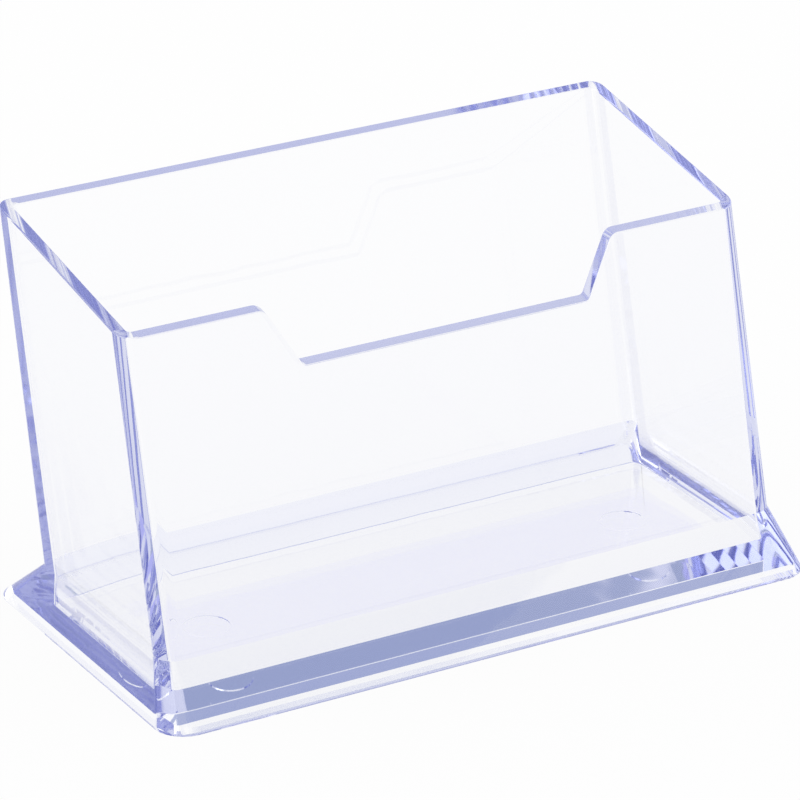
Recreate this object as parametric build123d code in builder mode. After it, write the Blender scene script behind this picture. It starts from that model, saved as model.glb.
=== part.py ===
from build123d import *
from math import radians, tan
import os

os.makedirs("parts", exist_ok=True)

# Clear business card holder: a pocket that leans back on a flared foot.
# Millimetres, +Z up, +Y to the back. The origin is the middle of the footprint on the table.

# Card stack the pocket is made for
card_width = 90.0
card_side_gap = 1.25
stack_depth = 30.0
stack_gap = 2.1

# Pocket walls
wall_thickness = 1.8
lean_angle = 13.5
outer_draft = 0.5
inner_draft = 0.1
front_rim_height = 50.1
back_rim_height = 57.1
front_corner_radius = 3.0
back_corner_radius = 1.9
pocket_corner_radius = 0.5
rim_edge_radius = 0.4

# Raised floor and its two round ejector marks
floor_top = 2.7
floor_thickness = 1.8
mark_diameter = 6.5
mark_depth = 0.12
mark_spacing = 66.8

# Finger notch in the front wall
notch_depth = 7.8
notch_floor_width = 44.4
notch_mouth_width = 54.0
notch_floor_radius = 0.8
notch_mouth_radius = 1.0

# Flared foot, which stands on a narrow sole round a shallow recess
front_reach = 4.3
back_reach = 12.1
side_reach = 2.4
flare_height = 7.9
flare_land = 0.2
lip_height = 0.6
lip_corner_radius = 4.5
sole_width = 2.0
recess_corner_radius = 0.8

# Room past a face, so that a cut leaves no skin
overrun = 5.0

pocket_width = card_width + 2 * card_side_gap
pocket_depth = stack_depth + stack_gap
rim_width = pocket_width + 2 * wall_thickness
rim_depth = pocket_depth + 2 * wall_thickness
floor_under = floor_top - floor_thickness
section_top = back_rim_height + overrun
pocket_back_set = (front_reach - back_reach) / 2


def axis_y(z):
    return pocket_back_set + z * tan(radians(lean_angle))


def outer_spread(z):
    return 2 * (front_rim_height - z) * tan(radians(outer_draft))


def front_face_y(z):
    return axis_y(z) - (rim_depth + outer_spread(z)) / 2


def back_face_y(z):
    return axis_y(z) + (rim_depth + outer_spread(z)) / 2


# The four faces round a width and a depth taken at the front rim, closing in upwards by the draft
def face_planes(width, depth, draft):
    lean = tan(radians(lean_angle))
    closing = tan(radians(draft))
    middle = Vector(0, axis_y(front_rim_height), front_rim_height)
    planes = []
    for way in (-1, 1):
        on_side = middle + Vector(way * width / 2, 0, 0)
        on_end = middle + Vector(0, way * depth / 2, 0)
        planes.append(Plane(origin=on_side, z_dir=(way, 0, closing)))
        planes.append(Plane(origin=on_end, z_dir=(0, way, closing - way * lean)))
    return planes


table_width = rim_width + outer_spread(0)
table_depth = rim_depth + outer_spread(0)
base_width = table_width + 2 * side_reach
base_depth = table_depth + front_reach + back_reach


# A leaning block with rounded uprights, from a given height to past the rim
def leaning_block(bottom, width, depth, draft, front_radius, back_radius):
    with BuildPart() as block:
        with BuildSketch(Plane.XY.offset(bottom)):
            with Locations((0, axis_y(section_top / 2))):
                Rectangle(base_width, 2 * base_depth)
        extrude(amount=section_top - bottom)
        for face in face_planes(width, depth, draft):
            split(bisect_by=face, keep=Keep.BOTTOM)
        fillet(edges().group_by(Axis.Z)[1].sort_by(Axis.Y)[:2], radius=front_radius)
        fillet(edges().group_by(Axis.Z)[1].sort_by(Axis.Y)[-2:], radius=back_radius)
    return block.part


# Outer form of the pocket, and the space inside its walls down to the underside of the floor
pocket_form = leaning_block(0, rim_width, rim_depth, outer_draft, front_corner_radius, back_corner_radius)
cavity_form = leaning_block(
    floor_under, pocket_width, pocket_depth, -inner_draft, pocket_corner_radius, pocket_corner_radius
)

# Rim line in side view, rising to the back
rim_front_y = front_face_y(front_rim_height)
rim_back_y = back_face_y(back_rim_height)
rim_rise = (back_rim_height - front_rim_height) / (rim_back_y - rim_front_y)
trim_front_y = rim_front_y - overrun
trim_back_y = rim_back_y + overrun
trim_top = section_top + overrun


def rim_z(y):
    return front_rim_height + (y - rim_front_y) * rim_rise


# All four walls in one ring, trimmed to the rim and notched for a finger
with BuildPart() as wall_ring:
    add(pocket_form)
    add(cavity_form, mode=Mode.SUBTRACT)
    split(bisect_by=Plane.XY.offset(floor_under), keep=Keep.TOP)
    with BuildSketch(Plane.YZ):
        with BuildLine():
            Polyline(
                (trim_front_y, front_rim_height - overrun * rim_rise),
                (trim_back_y, back_rim_height + overrun * rim_rise),
                (trim_back_y, trim_top),
                (trim_front_y, trim_top),
                close=True,
            )
        make_face()
    extrude(amount=base_width, both=True, mode=Mode.SUBTRACT)
    notch_floor = front_rim_height - notch_depth
    notch_slope = (notch_mouth_width - notch_floor_width) / 2 / notch_depth
    notch_top_width = notch_mouth_width + 2 * overrun * notch_slope
    with BuildSketch(Plane.XZ.offset(-axis_y(front_rim_height))):
        with BuildLine():
            Polyline(
                (-notch_floor_width / 2, notch_floor),
                (notch_floor_width / 2, notch_floor),
                (notch_top_width / 2, front_rim_height + overrun),
                (-notch_top_width / 2, front_rim_height + overrun),
                close=True,
            )
        make_face()
        fillet(vertices().group_by(Axis.Y)[0], radius=notch_floor_radius)
    extrude(amount=base_depth, mode=Mode.SUBTRACT)
    mouth_edges = (
        edges()
        .filter_by(lambda e: abs(abs(e.center().X) - notch_mouth_width / 2) < wall_thickness)
        .filter_by(lambda e: e.center().Z > front_rim_height - wall_thickness / 2)
        .filter_by(lambda e: e.length < 2 * wall_thickness)
    )
    fillet(mouth_edges, radius=notch_mouth_radius)
    # Every edge that a hand meets along the rim and round the notch, but not the short ones across the wall
    notch_edges = edges().filter_by(
        lambda e: abs(e.center().X) < notch_mouth_width / 2 + notch_mouth_radius
        and notch_floor - rim_edge_radius < e.center().Z
        and e.center().Y < axis_y(front_rim_height)
    )
    rim_edges = edges().filter_by(
        lambda e: abs(e.center().Z - rim_z(e.center().Y)) < rim_edge_radius and e not in notch_edges
    )
    fillet(
        (notch_edges + rim_edges).filter_by(
            lambda e: e.geom_type != GeomType.LINE or e.length > 2 * wall_thickness
        ),
        radius=rim_edge_radius,
    )

# Mitre planes on the four upright corners, each along the leaning corner line.
# Each faces the end wall, so the end walls lie above the planes and the long walls below.
mitres = {}
for side in (-1, 1):
    for end, corner_radius in ((-1, front_corner_radius), (1, back_corner_radius)):
        low = Vector(
            side * (table_width / 2 - corner_radius),
            axis_y(0) + end * (table_depth / 2 - corner_radius),
            0,
        )
        high = Vector(
            side * ((rim_width + outer_spread(section_top)) / 2 - corner_radius),
            axis_y(section_top) + end * ((rim_depth + outer_spread(section_top)) / 2 - corner_radius),
            section_top,
        )
        outward = Vector(side, end, 0)
        across = outward.cross(high - low) * side * end
        mitres[side, end] = Plane(origin=low, x_dir=outward, z_dir=across)

with BuildPart() as long_walls:
    add(wall_ring.part)
    split(bisect_by=mitres[-1, -1], keep=Keep.BOTTOM)
    split(bisect_by=mitres[1, -1], keep=Keep.BOTTOM)

with BuildPart() as front_wall:
    add(long_walls.part.solids().sort_by(Axis.Y)[0])
front_wall.part.label = "front_wall"
export_step(front_wall.part, "parts/front_wall.step")

with BuildPart() as rear_walls:
    add(wall_ring.part)
    split(bisect_by=mitres[-1, 1], keep=Keep.BOTTOM)
    split(bisect_by=mitres[1, 1], keep=Keep.BOTTOM)

with BuildPart() as back_wall:
    add(rear_walls.part.solids().sort_by(Axis.Y)[-1])
back_wall.part.label = "back_wall"
export_step(back_wall.part, "parts/back_wall.step")

with BuildPart() as left_wall:
    add(wall_ring.part)
    split(bisect_by=mitres[-1, -1], keep=Keep.TOP)
    split(bisect_by=mitres[-1, 1], keep=Keep.TOP)
left_wall.part.label = "left_wall"
export_step(left_wall.part, "parts/left_wall.step")

with BuildPart() as right_wall:
    add(wall_ring.part)
    split(bisect_by=mitres[1, -1], keep=Keep.TOP)
    split(bisect_by=mitres[1, 1], keep=Keep.TOP)
right_wall.part.label = "right_wall"
export_step(right_wall.part, "parts/right_wall.step")

# Card floor between the walls, with a round ejector mark near each end
with BuildPart() as floor:
    add(cavity_form)
    split(bisect_by=Plane.XY.offset(floor_top), keep=Keep.BOTTOM)
    with BuildSketch(Plane.XY.offset(floor_top)):
        with Locations((0, axis_y(floor_top))):
            with GridLocations(mark_spacing, 0, 2, 1):
                Circle(mark_diameter / 2)
    extrude(amount=-mark_depth, mode=Mode.SUBTRACT)
floor.part.label = "floor"
export_step(floor.part, "parts/floor.step")

# Size of the foot where its ramps meet the walls
flare_width = rim_width + outer_spread(flare_height) + 2 * flare_land
flare_depth = rim_depth + outer_spread(flare_height) + 2 * flare_land


# An outline of the foot, with its own radius on the front and the back corners
def foot_outline(width, depth, middle_y, front_radius, back_radius):
    with BuildSketch(Plane.XY) as outline:
        with Locations((0, middle_y)):
            Rectangle(width, depth)
        fillet(vertices().group_by(Axis.Y)[0], radius=front_radius)
        fillet(vertices().group_by(Axis.Y)[-1], radius=back_radius)
    return outline.sketch


lip_outline = foot_outline(base_width, base_depth, 0, lip_corner_radius, lip_corner_radius)
flare_outline = foot_outline(
    flare_width,
    flare_depth,
    axis_y(flare_height),
    front_corner_radius + flare_land,
    back_corner_radius + flare_land,
)

# The whole foot: a low lip, ramps up to the walls, the recess under it and the space of the pocket taken out
with BuildPart() as foot:
    with BuildSketch(Plane.XY):
        add(lip_outline)
    extrude(amount=lip_height)
    with BuildSketch(Plane.XY.offset(lip_height)):
        add(lip_outline)
    with BuildSketch(Plane.XY.offset(flare_height)):
        add(flare_outline)
    loft(ruled=True)
    with BuildSketch(Plane.XY):
        RectangleRounded(base_width - 2 * sole_width, base_depth - 2 * sole_width, recess_corner_radius)
    extrude(amount=floor_under, mode=Mode.SUBTRACT)
    add(pocket_form, mode=Mode.SUBTRACT)

# Upright hip planes of the foot, from each corner of the pocket out to the corner of the lip.
# Each faces the end ramp, as the mitres do.
hips = {}
for side in (-1, 1):
    for end in (-1, 1):
        inner = Vector(side * flare_width / 2, axis_y(flare_height) + end * flare_depth / 2, 0)
        outer = Vector(side * base_width / 2, end * base_depth / 2, 0)
        along = outer - inner
        hips[side, end] = Plane(origin=outer, x_dir=along, z_dir=along.cross(Vector(0, 0, 1)) * side * end)

with BuildPart() as front_ramps:
    add(foot.part)
    split(bisect_by=hips[-1, -1], keep=Keep.BOTTOM)
    split(bisect_by=hips[1, -1], keep=Keep.BOTTOM)

with BuildPart() as front_skirt:
    add(front_ramps.part.solids().sort_by(Axis.Y)[0])
front_skirt.part.label = "front_skirt"
export_step(front_skirt.part, "parts/front_skirt.step")

with BuildPart() as back_ramps:
    add(foot.part)
    split(bisect_by=hips[-1, 1], keep=Keep.BOTTOM)
    split(bisect_by=hips[1, 1], keep=Keep.BOTTOM)

with BuildPart() as back_skirt:
    add(back_ramps.part.solids().sort_by(Axis.Y)[-1])
back_skirt.part.label = "back_skirt"
export_step(back_skirt.part, "parts/back_skirt.step")

with BuildPart() as left_skirt:
    add(foot.part)
    split(bisect_by=hips[-1, -1], keep=Keep.TOP)
    split(bisect_by=hips[-1, 1], keep=Keep.TOP)
left_skirt.part.label = "left_skirt"
export_step(left_skirt.part, "parts/left_skirt.step")

with BuildPart() as right_skirt:
    add(foot.part)
    split(bisect_by=hips[1, -1], keep=Keep.TOP)
    split(bisect_by=hips[1, 1], keep=Keep.TOP)
right_skirt.part.label = "right_skirt"
export_step(right_skirt.part, "parts/right_skirt.step")
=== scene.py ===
import bmesh
import bpy
import math
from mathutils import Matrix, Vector


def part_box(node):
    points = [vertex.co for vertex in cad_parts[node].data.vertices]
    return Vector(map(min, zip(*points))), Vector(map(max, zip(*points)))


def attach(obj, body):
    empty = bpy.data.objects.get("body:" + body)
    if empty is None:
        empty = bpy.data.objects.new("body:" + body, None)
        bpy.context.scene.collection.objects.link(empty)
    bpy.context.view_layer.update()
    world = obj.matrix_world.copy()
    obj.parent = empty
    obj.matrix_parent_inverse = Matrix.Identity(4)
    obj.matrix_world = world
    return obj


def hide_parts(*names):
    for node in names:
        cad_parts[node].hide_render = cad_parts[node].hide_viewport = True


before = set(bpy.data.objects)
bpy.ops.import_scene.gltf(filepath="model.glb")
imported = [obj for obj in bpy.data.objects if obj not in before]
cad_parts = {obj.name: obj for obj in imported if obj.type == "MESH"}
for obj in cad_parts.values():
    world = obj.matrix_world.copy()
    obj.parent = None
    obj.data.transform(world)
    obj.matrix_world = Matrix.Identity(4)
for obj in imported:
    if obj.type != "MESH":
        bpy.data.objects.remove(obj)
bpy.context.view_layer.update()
mm = 0.001
white = (1, 1, 1, 1)
print("frame loaded:", len(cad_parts), "nodes")


# the pocket that holds the cards, sizes at the front rim
pocket = {
    "rimWidth": 96.1 * mm,
    "rimDepth": 35.57 * mm,
    "wall": 1.8 * mm,
    "lean": math.radians(13.5),
    "outerDraft": math.radians(0.5),
    "innerDraft": math.radians(0.1),
    "frontRim": 49.98 * mm,
    "backRim": 56.98 * mm,
    "frontCorner": 3.0 * mm,
    "backCorner": 1.9 * mm,
    "innerFront": 0.6 * mm,
    "innerBack": 1.3 * mm,
    "cornerSteps": 12,
    "rimRound": 0.2 * mm,
    "rimSteps": 7,
    "spare": 5 * mm,  # walls run this far past the rim before they are trimmed
}

# the flared foot, its outline and levels read from the frame
foot = {
    "width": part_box("right_skirt")[1].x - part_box("left_skirt")[0].x,
    "depth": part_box("back_skirt")[1].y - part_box("front_skirt")[0].y,
    "flare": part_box("front_skirt")[1].z,
    "corner": 4.5 * mm,
    "lip": 0.25 * mm,
    "lipRound": 0.15 * mm,
    "lipSteps": 6,
    "frontReach": 4.3 * mm,
    "backReach": 12.1 * mm,
    "floorTop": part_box("floor")[1].z,
    "floorUnder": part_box("floor")[0].z,
    "floorRound": 0.12 * mm,
    "floorSteps": 6,
    "sole": 2.0 * mm,
    "recessCorner": 0.8 * mm,
    "stagger": 10 * mm,  # outlines that share a level are bridged this far apart, then settled
}

pocketSet = (foot["frontReach"] - foot["backReach"]) / 2
sectionTop = pocket["backRim"] + pocket["spare"]
cavityTop = sectionTop + pocket["spare"]


def axisY(z):
    return pocketSet + z * math.tan(pocket["lean"])


def outerSize(z):
    spread = 2 * (pocket["frontRim"] - z) * math.tan(pocket["outerDraft"])
    return pocket["rimWidth"] + spread, pocket["rimDepth"] + spread


def innerSize(z):
    spread = 2 * (z - pocket["frontRim"]) * math.tan(pocket["innerDraft"]) - 2 * pocket["wall"]
    return pocket["rimWidth"] + spread, pocket["rimDepth"] + spread


def backFaceY(z):
    return axisY(z) + outerSize(z)[1] / 2


def frontFaceY(z):
    return axisY(z) - outerSize(z)[1] / 2


rimFrontY = frontFaceY(pocket["frontRim"])
rimSlope = (pocket["backRim"] - pocket["frontRim"]) / (backFaceY(pocket["backRim"]) - rimFrontY)


# edit-mode helpers
def deselectAll():
    if bpy.context.object and bpy.context.object.mode == "EDIT":
        bpy.ops.object.mode_set(mode="OBJECT")
    bpy.ops.object.select_all(action="DESELECT")


def startEdit(piece):
    deselectAll()
    bpy.context.view_layer.objects.active = piece
    piece.select_set(True)
    bpy.ops.object.mode_set(mode="EDIT")
    bpy.ops.mesh.select_mode(type="EDGE")
    bpy.ops.mesh.select_all(action="DESELECT")


def endEdit():
    bpy.ops.object.mode_set(mode="OBJECT")


def pickEdges(piece, wanted):
    bpy.ops.mesh.select_all(action="DESELECT")
    shape = bmesh.from_edit_mesh(piece.data)
    count = 0
    for edge in shape.edges:
        if wanted(edge):
            edge.select = True
            count += 1
    shape.select_flush_mode()
    bmesh.update_edit_mesh(piece.data)
    return count


def pickPoints(piece, wanted):
    bpy.ops.mesh.select_mode(type="VERT")
    bpy.ops.mesh.select_all(action="DESELECT")
    shape = bmesh.from_edit_mesh(piece.data)
    for vert in shape.verts:
        vert.select = wanted(vert.co)
    shape.select_flush(True)
    bmesh.update_edit_mesh(piece.data)


def roundPicked(radius, steps, affect="EDGES"):
    bpy.ops.mesh.bevel(offset=radius, offset_type="OFFSET", segments=steps, affect=affect)


levelSlack = 0.001 * mm  # points this close in height share a level


def onLevel(co, z):
    return abs(co.z - z) < levelSlack


def edgeOnLevel(edge, z):
    return all(onLevel(vert.co, z) for vert in edge.verts)


def runsAcrossWall(edge, reach):
    return abs(edge.verts[0].co.y - edge.verts[1].co.y) > reach


# one rounded outline of the moulding, as a ring of edges on a level of its own
def addOutline(piece, size, corners, centreY, z):
    bpy.ops.mesh.select_all(action="DESELECT")
    bpy.ops.mesh.primitive_plane_add(size=1, location=(0, centreY, z))
    bpy.ops.transform.resize(value=(size[0], size[1], 1), center_override=(0, centreY, z))
    for way, corner in zip((-1, 1), corners):
        pickPoints(piece, lambda co: onLevel(co, z) and way * (co.y - centreY) > 0)
        roundPicked(corner, pocket["cornerSteps"], affect="VERTICES")
    pickPoints(piece, lambda co: onLevel(co, z))
    bpy.ops.mesh.delete(type="ONLY_FACE")
    bpy.ops.mesh.select_mode(type="EDGE")
    return z


def pickOutlines(piece, *levels):
    pickEdges(piece, lambda edge: any(edgeOnLevel(edge, level) for level in levels))


def bridgeOutlines(piece, lower, upper):
    pickOutlines(piece, lower, upper)
    bpy.ops.mesh.bridge_edge_loops()


def settleOutline(piece, outline, rise):
    pickOutlines(piece, outline)
    bpy.ops.transform.translate(value=(0, 0, rise))


def capOutline(piece, outline):
    pickOutlines(piece, outline)
    bpy.ops.mesh.edge_face_add()


def cutAway(piece, cutter):
    deselectAll()
    bpy.context.view_layer.objects.active = piece
    cut = piece.modifiers.new("cut", "BOOLEAN")
    cut.operation = "DIFFERENCE"
    cut.solver = "EXACT"
    cut.object = cutter
    bpy.ops.object.modifier_apply(modifier=cut.name)
    bpy.data.objects.remove(cutter)


# walls, floor and foot in one skin, built up from outlines
def mouldBody():
    deselectAll()
    bpy.ops.mesh.primitive_plane_add(size=1)
    body = bpy.context.object
    body.name = "clear_holder"
    body.data.name = "clear_holder"
    startEdit(body)
    bpy.ops.mesh.select_all(action="SELECT")
    bpy.ops.mesh.delete(type="VERT")

    footSize = (foot["width"], foot["depth"])
    footCorners = (foot["corner"], foot["corner"])
    recessSize = [side - 2 * foot["sole"] for side in footSize]
    recessCorners = (foot["recessCorner"], foot["recessCorner"])

    def footOutline(z):
        return addOutline(body, footSize, footCorners, 0, z)

    def recessOutline(z):
        return addOutline(body, recessSize, recessCorners, 0, z)

    def outerOutline(z):
        corners = (pocket["frontCorner"], pocket["backCorner"])
        return addOutline(body, outerSize(z), corners, axisY(z), z)

    def innerOutline(z):
        corners = (pocket["innerFront"], pocket["innerBack"])
        return addOutline(body, innerSize(z), corners, axisY(z), z)

    ceiling = recessOutline(foot["floorUnder"])
    recess = recessOutline(0)
    sole = footOutline(-foot["stagger"])
    lip = footOutline(foot["lip"])
    root = outerOutline(foot["flare"])
    outerTop = outerOutline(sectionTop)
    floorEdge = innerOutline(foot["floorTop"])
    innerTop = innerOutline(cavityTop)

    outside = [ceiling, recess, sole, lip, root, outerTop]
    for lower, upper in zip(outside, outside[1:]):
        bridgeOutlines(body, lower, upper)
    bridgeOutlines(body, floorEdge, innerTop)
    settleOutline(body, sole, foot["stagger"])
    capOutline(body, ceiling)
    capOutline(body, floorEdge)

    # trim to the rim line, which rises to the back
    bpy.ops.mesh.select_all(action="SELECT")
    bpy.ops.mesh.bisect(
        plane_co=(0, rimFrontY, pocket["frontRim"]),
        plane_no=Vector((0, -rimSlope, 1)).normalized(),
        use_fill=False,
        clear_outer=True,
    )
    pickEdges(body, lambda edge: edge.is_boundary)
    bpy.ops.mesh.bridge_edge_loops()
    bpy.ops.mesh.select_all(action="SELECT")
    bpy.ops.mesh.normals_make_consistent(inside=False)
    if bmesh.from_edit_mesh(body.data).calc_volume(signed=True) < 0:
        bpy.ops.mesh.flip_normals()
    endEdit()
    return body


# finger notch in the front wall
notch = {
    "depth": 7.8 * mm,
    "floorWidth": 44.4 * mm,
    "mouthWidth": 54.0 * mm,
    "floorRound": 0.8 * mm,
    "floorSteps": 6,
    "mouthRound": 1.0 * mm,
    "mouthSteps": 5,
    "mouthSlack": 0.5 * mm,  # the mouth's corners lie this close to the mouth's width and the rim
}
notchFloor = pocket["frontRim"] - notch["depth"]


# a block whose top is wider than its foot, with a rounded foot, set across the front wall
def notchCutter():
    topZ = pocket["frontRim"] + pocket["spare"]
    height = topZ - notchFloor
    slope = (notch["mouthWidth"] - notch["floorWidth"]) / 2 / notch["depth"]
    topWidth = notch["floorWidth"] + 2 * slope * height
    length = pocket["rimDepth"]
    centre = Vector((0, rimFrontY, notchFloor + height / 2))
    deselectAll()
    bpy.ops.mesh.primitive_cube_add(size=1, location=centre)
    block = bpy.context.object
    block.scale = (notch["floorWidth"], length, height)
    bpy.ops.object.transform_apply(location=True, rotation=True, scale=True)
    startEdit(block)
    pickEdges(block, lambda edge: all(vert.co.z > centre.z for vert in edge.verts))
    bpy.ops.transform.resize(
        value=(topWidth / notch["floorWidth"], 1, 1), center_override=(0, centre.y, topZ)
    )
    pickEdges(
        block,
        lambda edge: all(vert.co.z < centre.z for vert in edge.verts)
        and runsAcrossWall(edge, length / 2),
    )
    turn = math.pi / 2 - math.atan(slope)
    roundPicked(notch["floorRound"] * math.tan(turn / 2), notch["floorSteps"])
    # its floor rises to the back as the rim does
    for way in (-1, 1):
        pickPoints(block, lambda co: way * (co.y - centre.y) > 0)
        bpy.ops.transform.translate(value=(0, 0, way * rimSlope * length / 2))
    endEdit()
    return block


# round ejector marks on the card floor
marks = {
    "diameter": 6.5 * mm,
    "depth": 0.12 * mm,
    "spacing": 66.8 * mm,
    "sides": 48,
}


def markCutters():
    z = foot["floorTop"]
    rounds = []
    for side in (-1, 1):
        deselectAll()
        bpy.ops.mesh.primitive_cylinder_add(
            vertices=marks["sides"],
            radius=marks["diameter"] / 2,
            depth=2 * marks["depth"],
            location=(side * marks["spacing"] / 2, axisY(z), z),
        )
        bpy.ops.object.transform_apply(location=True, rotation=True, scale=True)
        rounds.append(bpy.context.object)
    return rounds


# which edges count as sharp, and how the skin is shaded
finish = {
    "sharpEdge": math.radians(50),
    "smoothAngle": math.radians(18.5),
    "faceWeight": 100,
}


def atNotchMouth(co):
    aside = abs(abs(co.x) - notch["mouthWidth"] / 2)
    return aside < notch["mouthSlack"] and co.z > pocket["frontRim"] - notch["mouthSlack"]


def isMouthCorner(edge):
    return all(atNotchMouth(vert.co) for vert in edge.verts) and runsAcrossWall(edge, pocket["wall"] / 2)


# the notch's floor slopes, so its outer edge lies a little under its level
def isRimEdge(edge):
    lowest = min(vert.co.z for vert in edge.verts)
    return edge.calc_face_angle(0) > finish["sharpEdge"] and lowest > notchFloor - pocket["wall"]


# where a wall stands on the floor; round a mark the faces go down instead
def isFloorEdge(edge):
    floorZ = foot["floorTop"]
    nearby = [vert.co.z for face in edge.link_faces for vert in face.verts]
    rises = max(nearby) > floorZ + levelSlack and min(nearby) > floorZ - levelSlack
    return edgeOnLevel(edge, floorZ) and rises


def isLipEdge(edge):
    return edgeOnLevel(edge, foot["lip"])


def roundEdges(body):
    rounding = (
        ("notch mouth", isMouthCorner, notch["mouthRound"], notch["mouthSteps"]),
        ("rim", isRimEdge, pocket["rimRound"], pocket["rimSteps"]),
        ("floor", isFloorEdge, foot["floorRound"], foot["floorSteps"]),
        ("lip", isLipEdge, foot["lipRound"], foot["lipSteps"]),
    )
    startEdit(body)
    for where, wanted, radius, steps in rounding:
        print("edges rounded at the", where + ":", pickEdges(body, wanted))
        roundPicked(radius, steps)
    endEdit()


def finishShading(body):
    deselectAll()
    bpy.context.view_layer.objects.active = body
    body.select_set(True)
    bpy.ops.object.shade_smooth_by_angle(angle=finish["smoothAngle"])
    weigh = body.modifiers.new("weigh", "WEIGHTED_NORMAL")
    weigh.keep_sharp = True
    weigh.weight = finish["faceWeight"]
    bpy.ops.object.modifier_apply(modifier=weigh.name)


holder = mouldBody()
cutAway(holder, notchCutter())
for markCutter in markCutters():
    cutAway(holder, markCutter)
roundEdges(holder)
finishShading(holder)
print("holder moulded:", len(holder.data.polygons), "faces")


# shader maths: a wrapped socket, with operators that add Math nodes
class Signal:
    def __init__(self, tree, socket):
        self.tree = tree
        self.socket = socket

    # a socket is named with _ for a space, or numbered as at0, at1
    def node(self, kind, settings=None, **sockets):
        made = self.tree.nodes.new(kind)
        for key, value in (settings or {}).items():
            setattr(made, key, value)
        for key, value in sockets.items():
            numbered = key.startswith("at")
            place = made.inputs[int(key[2:]) if numbered else key.replace("_", " ")]
            if isinstance(value, Signal):
                self.tree.links.new(value.socket, place)
            else:
                place.default_value = value
        return made

    def maths(self, operation, first, second):
        made = self.node("ShaderNodeMath", {"operation": operation}, at0=first, at1=second)
        return Signal(self.tree, made.outputs[0])

    def __add__(self, other):
        return self.maths("ADD", self, other)

    def __radd__(self, other):
        return self.maths("ADD", other, self)

    def __mul__(self, other):
        return self.maths("MULTIPLY", self, other)

    def __rmul__(self, other):
        return self.maths("MULTIPLY", other, self)

    def larger(self, other):
        return self.maths("MAXIMUM", self, other)


# an empty material, with a signal to start its nodes from and its output
def startMaterial(name):
    material = bpy.data.materials.new(name)
    material.use_nodes = True
    material.node_tree.nodes.clear()
    start = Signal(material.node_tree, None)
    return material, start, start.node("ShaderNodeOutputMaterial")


# clear polystyrene with a little violet toner
plastic = {
    "ior": 1.59,
    "roughness": 0.012,
    "haze": 0.02,  # extra roughness in the haziest patches
    "hazeScale": 60.0,
    "hazeDetail": 2.0,
    "ripple": 0.25,  # flow ripples left by the mould
    "rippleScale": 140.0,
    "rippleDetail": 1.0,
    "rippleDepth": 0.05 * mm,
    "tint": (0.346, 0.40, 0.808, 1),
    "density": 13.5,
}


def clearPlastic():
    material, start, output = startMaterial("clear_plastic")
    tree = material.node_tree
    place = Signal(tree, start.node("ShaderNodeTexCoord").outputs["Object"])

    def noise(kind):
        scale, detail = plastic[kind + "Scale"], plastic[kind + "Detail"]
        made = start.node("ShaderNodeTexNoise", Vector=place, Scale=scale, Detail=detail)
        return Signal(tree, made.outputs[0])

    wave = start.node(
        "ShaderNodeBump",
        Strength=plastic["ripple"],
        Distance=plastic["rippleDepth"],
        Height=noise("ripple"),
    )
    shader = start.node(
        "ShaderNodeBsdfPrincipled",
        Base_Color=white,
        Roughness=noise("haze") * plastic["haze"] + plastic["roughness"],
        IOR=plastic["ior"],
        Transmission_Weight=1.0,
        Normal=Signal(tree, wave.outputs[0]),
    )
    depth = start.node("ShaderNodeVolumeAbsorption", Color=plastic["tint"], Density=plastic["density"])
    tree.links.new(shader.outputs[0], output.inputs["Surface"])
    tree.links.new(depth.outputs[0], output.inputs["Volume"])
    return material


holder.data.materials.clear()
holder.data.materials.append(clearPlastic())
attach(holder, "root")
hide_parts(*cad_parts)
print("holder dressed")


# white table and surround; grey cards draw the dark edges of the clear plastic, a soft box its pale ones
studio = {
    "floorSize": 4.0,
    "floorDrop": 0.02 * mm,
    "floorColour": (0.9, 0.9, 0.9, 1),
    "floorShade": 0.07,  # share of the table's look that takes the shadow
    "world": 1.0,
    "cards": {
        "rear_card": {
            "centre": (0.487, 1.105, 0.22),
            "size": (0.36, 0.44),
            "colour": (0.47, 0.53, 0.67, 1),
            "strength": 1.0,
        },
        "high_card": {
            "centre": (0.6, 1.04, 0.56),
            "size": (1.0, 0.2),
            "colour": (0.6, 0.6, 1.0, 1),
            "strength": 1.0,
        },
        "top_card": {
            "centre": (0.341, -0.406, 0.848),
            "size": (1.2, 0.6),
            "colour": (0.37, 0.42, 0.66, 1),
            "strength": 1.0,
        },
        "left_box": {
            "centre": (-0.888, -0.078, 0.454),
            "size": (1.5, 0.95),
            "colour": white,
            "strength": 2.0,
        },
    },
}


def tableWhite():
    material, start, output = startMaterial("table_white")
    tree = material.node_tree
    path = start.node("ShaderNodeLightPath")
    seen = Signal(tree, path.outputs["Is Camera Ray"])
    for ray in ("Is Glossy Ray", "Is Transmission Ray"):
        seen = seen.larger(Signal(tree, path.outputs[ray]))
    lit = start.node("ShaderNodeBsdfDiffuse", Color=studio["floorColour"])
    glow = start.node("ShaderNodeEmission", Color=white, Strength=1.0)
    mix = start.node("ShaderNodeMixShader", at0=seen * (1 - studio["floorShade"]))
    tree.links.new(lit.outputs[0], mix.inputs[1])
    tree.links.new(glow.outputs[0], mix.inputs[2])
    tree.links.new(mix.outputs[0], output.inputs["Surface"])
    return material


deselectAll()
bpy.ops.mesh.primitive_plane_add(size=studio["floorSize"], location=(0, 0, -studio["floorDrop"]))
table = bpy.context.object
table.name = "table"
table.data.materials.append(tableWhite())


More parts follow.
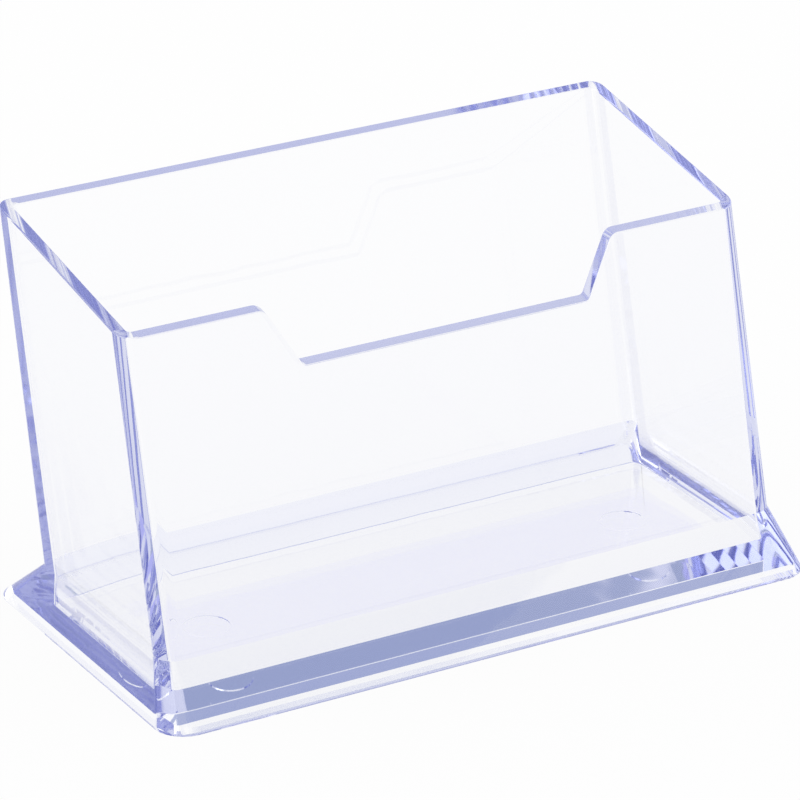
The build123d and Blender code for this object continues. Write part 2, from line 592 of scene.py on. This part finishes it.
# a card that only the plastic sees
def hangCard(name, centre, size, colour, strength):
    deselectAll()
    bpy.ops.mesh.primitive_plane_add(size=1)
    card = bpy.context.object
    card.name = name
    card.scale = (size[0], size[1], 1)
    card.rotation_euler = Vector(centre).to_track_quat("Z", "Y").to_euler()
    card.location = centre
    bpy.ops.object.transform_apply(location=True, rotation=True, scale=True)
    material, start, output = startMaterial(name)
    glow = start.node("ShaderNodeEmission", Color=colour, Strength=strength)
    material.node_tree.links.new(glow.outputs[0], output.inputs["Surface"])
    card.data.materials.append(material)
    card.visible_camera = False
    card.visible_diffuse = False
    card.visible_shadow = False


for cardName, card in studio["cards"].items():
    hangCard(cardName, **card)

world = bpy.data.worlds.new("surround")
bpy.context.scene.world = world
world.use_nodes = True
background = world.node_tree.nodes["Background"]
background.inputs["Color"].default_value = white
background.inputs["Strength"].default_value = studio["world"]
print("studio ready")


# long lens, at the photo's angle
view = {
    "azimuth": math.radians(-30.249),
    "elevation": math.radians(23.677),
    "distance": 669.97 * mm,
    "aim": Vector((-0.93, -0.32, 27.86)) * mm,
    "focalShare": 4887.2 / 800,  # focal length over picture width
    "sensor": 36,
    "nearest": 0.01,
    "farthest": 20,
    "bounces": 120,  # light is guided a long way in the walls
    "sureBounces": 100,
}
outward = Vector((
    math.sin(view["azimuth"]) * math.cos(view["elevation"]),
    -math.cos(view["azimuth"]) * math.cos(view["elevation"]),
    math.sin(view["elevation"]),
))
bpy.ops.object.camera_add(location=view["aim"] + outward * view["distance"])
camera = bpy.context.object
camera.rotation_euler = (-outward).to_track_quat("-Z", "Y").to_euler()
camera.data.sensor_width = view["sensor"]
camera.data.lens = view["sensor"] * view["focalShare"]
camera.data.clip_start = view["nearest"]
camera.data.clip_end = view["farthest"]

scene = bpy.context.scene
scene.camera = camera
scene.view_settings.view_transform = "Standard"
scene.cycles.max_bounces = view["bounces"]
scene.cycles.min_light_bounces = view["sureBounces"]
scene.cycles.glossy_bounces = view["bounces"]
scene.cycles.transmission_bounces = view["bounces"]
print("camera set")
